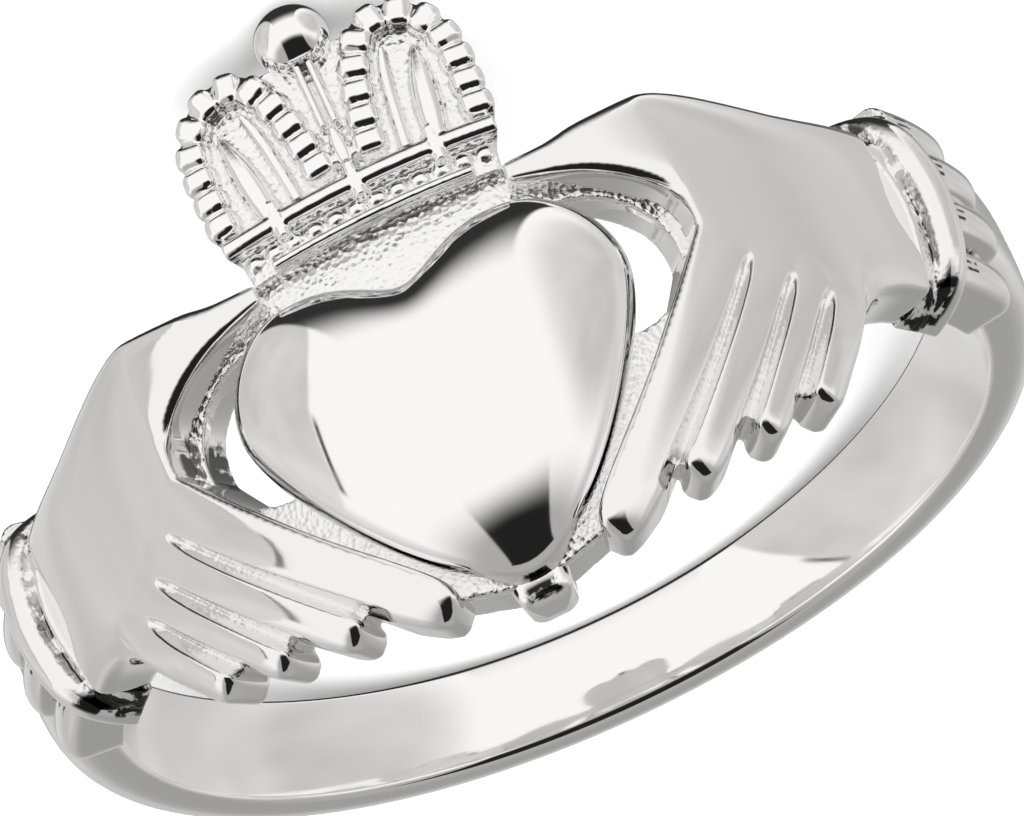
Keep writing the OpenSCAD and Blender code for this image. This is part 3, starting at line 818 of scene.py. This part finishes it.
# %% Tongue
tongue_len, tongue_w, tongue_base = 0.35, 1.1, 0.015
# share of the tongue's length, width, height
tongue_table = [[-0.6, 1.1, 1.1], [0.25, 1, 1.02], [0.7, 0.85, 0.95], [0.93, 0.6, 0.75], [1, 0.35, 0.5]]


def make_tongue():
    bm = bmesh.new()
    rows = [[0, heart_tip - share * tongue_len, wide * tongue_w / 2, high * plate_t, 0.3 * plate_t]
            for share, wide, high in tongue_table]
    ridge(bm, rows, base=tongue_base)
    s, y, h = plan_of(bm)
    # painted shade: black on the tongue's top where it meets the heart
    painted_shade = ease((0.38 - np.abs(s)) / 0.08) * ease((heart_tip - y - 0.02) / 0.03) * ease((h - 0.75) / 0.06)
    finished(bm, "tongue", metal, painted_shade=painted_shade)


make_tongue()

# %% [markdown]
# The crown stands on a rim with small pearls, then a band of four bars with a post in each gap.
# Two rows of beads arch over a petal and a thin rail, and meet at the stem of the ball. All of it
# is raised on one flat backing. This cell holds the sizes and the line of an arch, drawn once for
# one side, with u across the crown and v up it.

# %% Sizes of the crown
crown_len, crown_t, crown_relief, crown_band, crown_base = 3.8, 1.2, 0.38, 0.95, 0.01
bead_w, bead_pitch, petal_w, pearls = 0.6, 0.46, 0.5, 12
post_w = 0.05 * crown_w
crown_face = crown_t + crown_relief
low_face = crown_t + 0.8 * crown_relief
bar_y = crown_lift + 0.81 * crown_band
bar_gaps = [-1, -0.58, 0, 0.58, 1]
ball_y, ball_h, ball_d, ball_stretch = 4.93, 1.3, 1.28, 1.08


def crown_at(u, v):
    return np.array([u * crown_w / 2, crown_lift + v * crown_len])


arch_points = [[(0.95, 0.27), (0.95, 0.4), (0.97, 0.52), (0.96, 0.65)],
               [(0.96, 0.65), (0.94, 0.88), (0.69, 0.98), (0.49, 0.93)],
               [(0.49, 0.93), (0.33, 0.89), (0.22, 0.6), (0.18, 0.27)]]
arch = np.concatenate([bezier([crown_at(*p) for p in c], np.arange(40) / 40) for c in arch_points])
arch_run = np.concatenate([[0], np.cumsum(np.linalg.norm(np.diff(arch, axis=0), axis=1))])
# place up the crown, share of its width
backing_table = [[0, 0.94], [0.2, 0.97], [0.45, 0.99], [0.65, 0.99], [0.78, 0.91], [0.88, 0.75], [0.95, 0.55]]
print("an arch is", round(arch_run[-1], 2), "mm long and has", int(arch_run[-1] // bead_pitch), "beads")

# %% [markdown]
# The pearls are small globes. A bead of the arches looks like one too, but in the picture its top
# is flat and its sides meet the next bead in a narrow gap. So a bead is a cube with wide bevels,
# turned a little like the strands of a rope, over a low core that closes the gaps below. Both
# shapes are stood on the bent plane by one matrix.

# %% Beads and pearls
rope_turn, bead_h, bead_soft, core_drop = 0.25, 1.0, 0.17, 0.11


def stood(s, y, h, along, size):
    # size is the length along the row, the width and the height
    here = Vector(at(s, y, h))
    ahead = (Vector(at(s + 0.01 * along[0], y + 0.01 * along[1], h)) - here).normalized()
    up = Vector((here.x, 0, here.z)).normalized()
    aside = ahead.cross(up)
    turn = Matrix((ahead * size[0], aside * size[1], up * size[2])).transposed().to_4x4()
    return Matrix.Translation(here) @ turn


def pearl_row(bm):
    length = 0.95 * crown_w
    radius = 0.17 * crown_band
    for k in range(pearls):
        place = stood(((k + 0.5) / pearls - 0.5) * length, crown_lift + 0.4 * crown_band,
                      crown_t + 0.25 * crown_relief - 0.15 * crown_band, (1, 0),
                      (0.46 * length / pearls, radius, radius))
        bmesh.ops.create_uvsphere(bm, u_segments=20, v_segments=14, radius=1, matrix=place)


def bead(bm, place):
    made = bmesh.ops.create_cube(bm, size=1, matrix=place)["verts"]
    edges = list({e for v in made for e in v.link_edges})
    bmesh.ops.bevel(bm, geom=edges, offset=bead_soft, offset_type="OFFSET", segments=5, profile=0.5,
                    affect="EDGES", material=-1)


def arch_at(run):
    return np.array([np.interp(run, arch_run, arch[:, k]) for k in (0, 1)])


def bead_arch(bm, sign):
    ridge(bm, [[sign * p[0], p[1], 0.4 * bead_w, crown_face - core_drop, 0.15] for p in arch[::5]],
          base=crown_base, fine=1)
    count = int(arch_run[-1] // bead_pitch)
    for k in range(count):
        run = (k + 0.5) * arch_run[-1] / count
        p = arch_at(run)
        along = arch_at(run + 0.05) - p
        along = along / (np.linalg.norm(along) or 1) + rope_turn * np.array([-along[1], along[0]])
        bead(bm, stood(sign * p[0], p[1], crown_face - bead_h / 2, (sign * along[0], along[1]),
                       (1.04 * bead_pitch, bead_w, bead_h)))


# %% [markdown]
# The rest of the crown is a backing and fifteen ridges. The backing is a skin like the band's, with
# its outline from a table. The bars stop short of the posts, so that each post stands in a gap, as
# it does where an engraver has cut them apart.

# %% Backing, bars, petals and rails
def backing(bm):
    rows = []
    for v, share in spline(backing_table, 4):
        u = np.linspace(1, -1, 25) * share * crown_w / 2
        s = np.concatenate([u[::-1], u])
        h = np.concatenate([0 * u + crown_base, 0 * u + crown_t])
        rows.append(at(s, crown_lift + v * crown_len, h))
    skin(bm, rows)


def bars_and_posts(bm):
    half = crown_w / 2
    for i in range(4):
        a = bar_gaps[i] * half + (0 if i == 0 else 0.4 * post_w)
        b = bar_gaps[i + 1] * half - (0 if i == 3 else 0.4 * post_w)
        ridge(bm, [[a + c * (b - a), bar_y, 0.19 * crown_band, crown_face, 0.4 * crown_relief]
                   for c in np.linspace(0, 1, 6)], base=crown_base)
    for gap in bar_gaps[1:4]:
        ridge(bm, [[gap * half, crown_lift + c * crown_band, post_w / 2, crown_face - 0.02, post_w / 2]
                   for c in (0.45, 0.7, 0.95, 1.2)], base=crown_base)
    ridge(bm, [[u * 0.74 * half, crown_lift + 0.08 * crown_band, 0.1 * crown_band,
                crown_t + 0.7 * crown_relief, 0.1 * crown_band] for u in np.linspace(-1, 1, 9)],
          base=crown_base)


def petal_and_rails(bm, sign):
    foot, tip = crown_at(0.62, 0.25), crown_at(0.73, 0.75)
    rows = []
    for share, wide in [[0, 0.8], [0.3, 1], [0.6, 0.9], [0.85, 0.5], [1, 0.1]]:
        p = foot + share * (tip - foot)
        rows.append([sign * p[0], p[1], wide * petal_w / 2,
                     crown_t + 0.4 * crown_relief + 0.6 * crown_relief * wide, petal_w / 2 * wide])
    ridge(bm, rows, base=crown_base)
    rows = []
    for u, v, wide in [[0.4, 0.25, 1], [0.46, 0.6, 1], [0.52, 0.78, 0.5]]:
        p = crown_at(u, v)
        rows.append([sign * p[0], p[1], 0.215 * wide * petal_w, low_face, 0.19 * petal_w * wide])
    ridge(bm, rows, base=crown_base)
    rows = []
    for v in (0.52, 0.75, 0.95):
        p = crown_at(0.045, v)
        rows.append([sign * p[0], p[1], 0.0125 * crown_w, low_face, 0.01 * crown_w])
    ridge(bm, rows, base=crown_base)


def stem(bm):
    rows = []
    for v, wide in [[0.24, 0.3], [0.32, 0.8], [0.42, 1], [0.5, 0.3]]:
        rows.append([0, crown_at(0, v)[1], wide * 0.035 * crown_w, low_face, wide * 0.035 * crown_w])
    ridge(bm, rows, base=crown_base)


# %% [markdown]
# The crown's parts are melted with a fine voxel and hardly smoothed, because its beads are the
# sharpest work on the ring. The ball stays a globe of its own, a true mirror with nothing filled
# in around it, and is a little wider than high.

# %% Crown and ball
def crown_skins():
    bm = bmesh.new()
    backing(bm)
    bars_and_posts(bm)
    pearl_row(bm)
    for sign in (-1, 1):
        bead_arch(bm, sign)
        petal_and_rails(bm, sign)
    stem(bm)
    return bm


def make_crown():
    bm = melted(crown_skins(), voxel=0.032, rounds=2)
    opened(bm, crown_base)
    dull = hollows(bm, rounds=16, depth=0.04)
    _, _, h = plan_of(bm)
    ground = within(h, crown_t - 0.1, crown_t + 0.12, 0.1, 0.1)
    finished(bm, "crown", metal, np.maximum(dull, ground))


def make_ball():
    bm = bmesh.new()
    place = Matrix.Translation(Vector(at(0, ball_y, ball_h))) @ Matrix.Diagonal((ball_stretch, 1, 1, 1))
    bmesh.ops.create_uvsphere(bm, u_segments=64, v_segments=40, radius=ball_d / 2, matrix=place)
    finished(bm, "crown_ball", metal)


make_crown()
make_ball()

# %% [markdown]
# The ring lies on a plain pale floor under two wide soft lights. Small lamps would throw hard
# shadows and put bright dots on the metal. These only light the floor and make the soft shadow:
# mirror rays pass through the floor and the lights, because a jeweller's photographer keeps those
# out of the reflections too.

# %% Floor and lights
def make_floor():
    bm = bmesh.new()
    bmesh.ops.create_grid(bm, x_segments=1, y_segments=1, size=1.5)
    floor = body_of(bm, "floor")
    paint = bpy.data.materials.new("pale floor")
    paint.use_nodes = True
    shader = paint.node_tree.nodes["Principled BSDF"]
    shader.inputs["Base Color"].default_value = (0.86, 0.86, 0.86, 1)
    shader.inputs["Roughness"].default_value = 0.9
    floor.data.materials.append(paint)
    floor.visible_glossy = False
    floor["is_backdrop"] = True


def panel(name, place, size, power, aim=(0, 0, 0.006)):
    light = bpy.data.lights.new(name, "AREA")
    light.shape = "RECTANGLE"
    light.size, light.size_y = size
    light.energy = power
    lamp = bpy.data.objects.new(name, light)
    lamp.location = place
    lamp.rotation_euler = (Vector(place) - Vector(aim)).to_track_quat("Z", "Y").to_euler()
    lamp.visible_glossy = False
    bpy.context.scene.collection.objects.link(lamp)
    print(name, "light,", power, "watts")


make_floor()
panel("top", (0, -0.04, 0.3), (0.8, 0.8), 4.2)
panel("front", (0, -0.3, 0.2), (0.4, 0.2), 0.5)

# %% [markdown]
# Silver shows the room rather than its own colour, so the room is painted as a light tent, in round
# cloths that overlap: white in front, a grey cloth on each side, dimmer above and behind, and a
# dark base. A dark slot high in front draws the black line round the heart's lobes, and a thin
# dark edge on the right cloth draws the bright heart's left border. Each cloth is a mask, 1 inside
# a cone round one direction and 0 outside a wider one, and masks multiply where cloths overlap.

# %% Masks of the light tent
def toward(azimuth, elevation):
    # 0 is behind the ring and 90 is on its +X side
    a, e = math.radians(azimuth), math.radians(elevation)
    return math.sin(a) * math.cos(e), math.cos(a) * math.cos(e), math.sin(e)


def tent_tools(tree, place):
    def cone(direction, outer, inner):
        dot = node(tree, "VectorMath", {0: place, 1: direction}, operation="DOT_PRODUCT")
        return node(tree, "MapRange", {"Value": dot.outputs["Value"],
                                       "From Min": math.cos(math.radians(outer)),
                                       "From Max": math.cos(math.radians(inner))},
                    interpolation_type="SMOOTHSTEP").outputs["Result"]

    def painted(below, mask, shade):
        return node(tree, "Mix", {0: mask, 2: below, 3: shade}).outputs[0]

    def both(first, *others):
        for other in others:
            first = node(tree, "Math", {0: first, 1: other}, operation="MULTIPLY").outputs[0]
        return first

    def cloth(darkest, lightest):
        # hung cloth is never quite even
        noise = node(tree, "TexNoise", {"Vector": place, "Scale": 1.6})
        return node(tree, "MapRange", {"Value": noise.outputs[0], "From Min": 0.35, "From Max": 0.65,
                                       "To Min": darkest, "To Max": lightest}).outputs["Result"]

    return cone, painted, both, cloth


# %% [markdown]
# The cloths are hung in order, the later ones over the earlier ones. The two angles of a cone are
# where it ends and where it is full, in degrees from its middle. The last number is the brightness.
# The picture is shown with plain colours, because a film look would grey the white heart.

# %% The light tent
up, down, right, left = (0, 0, 1), (0, 0, -1), (1, 0, 0), (-1, 0, 0)
ahead, behind, left_cloth, right_cloth = toward(180, 0), toward(0, 40), toward(-106, -16), toward(94, -35)


def make_tent():
    world = bpy.data.worlds.new("light tent")
    world.use_nodes = True
    tree = world.node_tree
    place = node(tree, "TexCoord").outputs["Generated"]
    cone, painted, both, cloth = tent_tools(tree, place)

    grey = cloth(0.56, 0.74)
    shade = painted(grey, cone(behind, 65, 30), 0.35)
    shade = painted(shade, cone(ahead, 103, 86), 0.98)
    shade = painted(shade, cone(left_cloth, 40, 20), grey)
    shade = painted(shade, cone(right_cloth, 39.6, 38.8), grey)
    shade = painted(shade, cone(up, 70, 46), 0.42)
    base = both(cone(down, 62, 25), cone(left, 113, 110.5), cone(right, 118.5, 116))
    shade = painted(shade, base, 0.03)
    slot = both(cone(up, 70, 50), cone(left, 118, 115.5), cone(right, 128, 125.5), cone(ahead, 106, 102))
    shade = painted(shade, slot, 0.015)
    beyond = painted(1.0, cone(right_cloth, 40, 39.4), 0.0)
    edge = both(cone(right_cloth, 41.4, 40.8), cone(toward(116, -3), 19, 13), beyond)
    shade = painted(shade, edge, 0.05)

    tree.links.new(shade, tree.nodes["Background"].inputs["Color"])
    bpy.context.scene.world = world
    print("the light tent has", len(tree.nodes), "nodes")


make_tent()
bpy.context.scene.view_settings.view_transform = "Standard"

# %% [markdown]
# The camera looks at the ring from the photograph's angle, from far off, so that nothing is
# stretched. It could be aimed at the lying ring by eye, but it was fitted on the upright one, and
# the ring's own lying down carries it over exactly.

# %% Camera
swing, yaw, roll = math.radians(26.2), math.radians(-2.7), math.radians(24.72)
reach, shift_x, shift_y, focal_px, width_px = 200.0, 0.24, -1.36, 11000.0, 1024.0
film_mm = 36
seen = Matrix.Rotation(roll, 3, "Z") @ Matrix.Rotation(-swing, 3, "X") @ Matrix.Rotation(yaw, 3, "Y")
rig = seen.transposed().to_4x4()
rig.translation = seen.transposed() @ Vector((-shift_x, -shift_y, reach))
stand = lying @ rig
camera_data = bpy.data.cameras.new("camera")
camera_data.sensor_width = film_mm
camera_data.lens = film_mm * focal_px / width_px
camera_data.clip_start = 0.01
camera = bpy.data.objects.new("camera", camera_data)
camera.matrix_world = Matrix.LocRotScale(stand.translation, stand.to_quaternion(), None)
bpy.context.scene.collection.objects.link(camera)
bpy.context.scene.camera = camera
print("camera at", [round(v, 4) for v in camera.matrix_world.translation])

# %% [markdown]
# Last, the finer ring is measured against the solid that it stands for. A piece that has grown too
# far is hard to see in a mirror finish, and the two boxes show it at once.

# %% Sizes
new_box = [list(corner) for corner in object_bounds()]
for name, corners in (("solid", cad_box), ("pieces", new_box)):
    print(name, [[round(1000 * v, 3) for v in corner] for corner in corners])
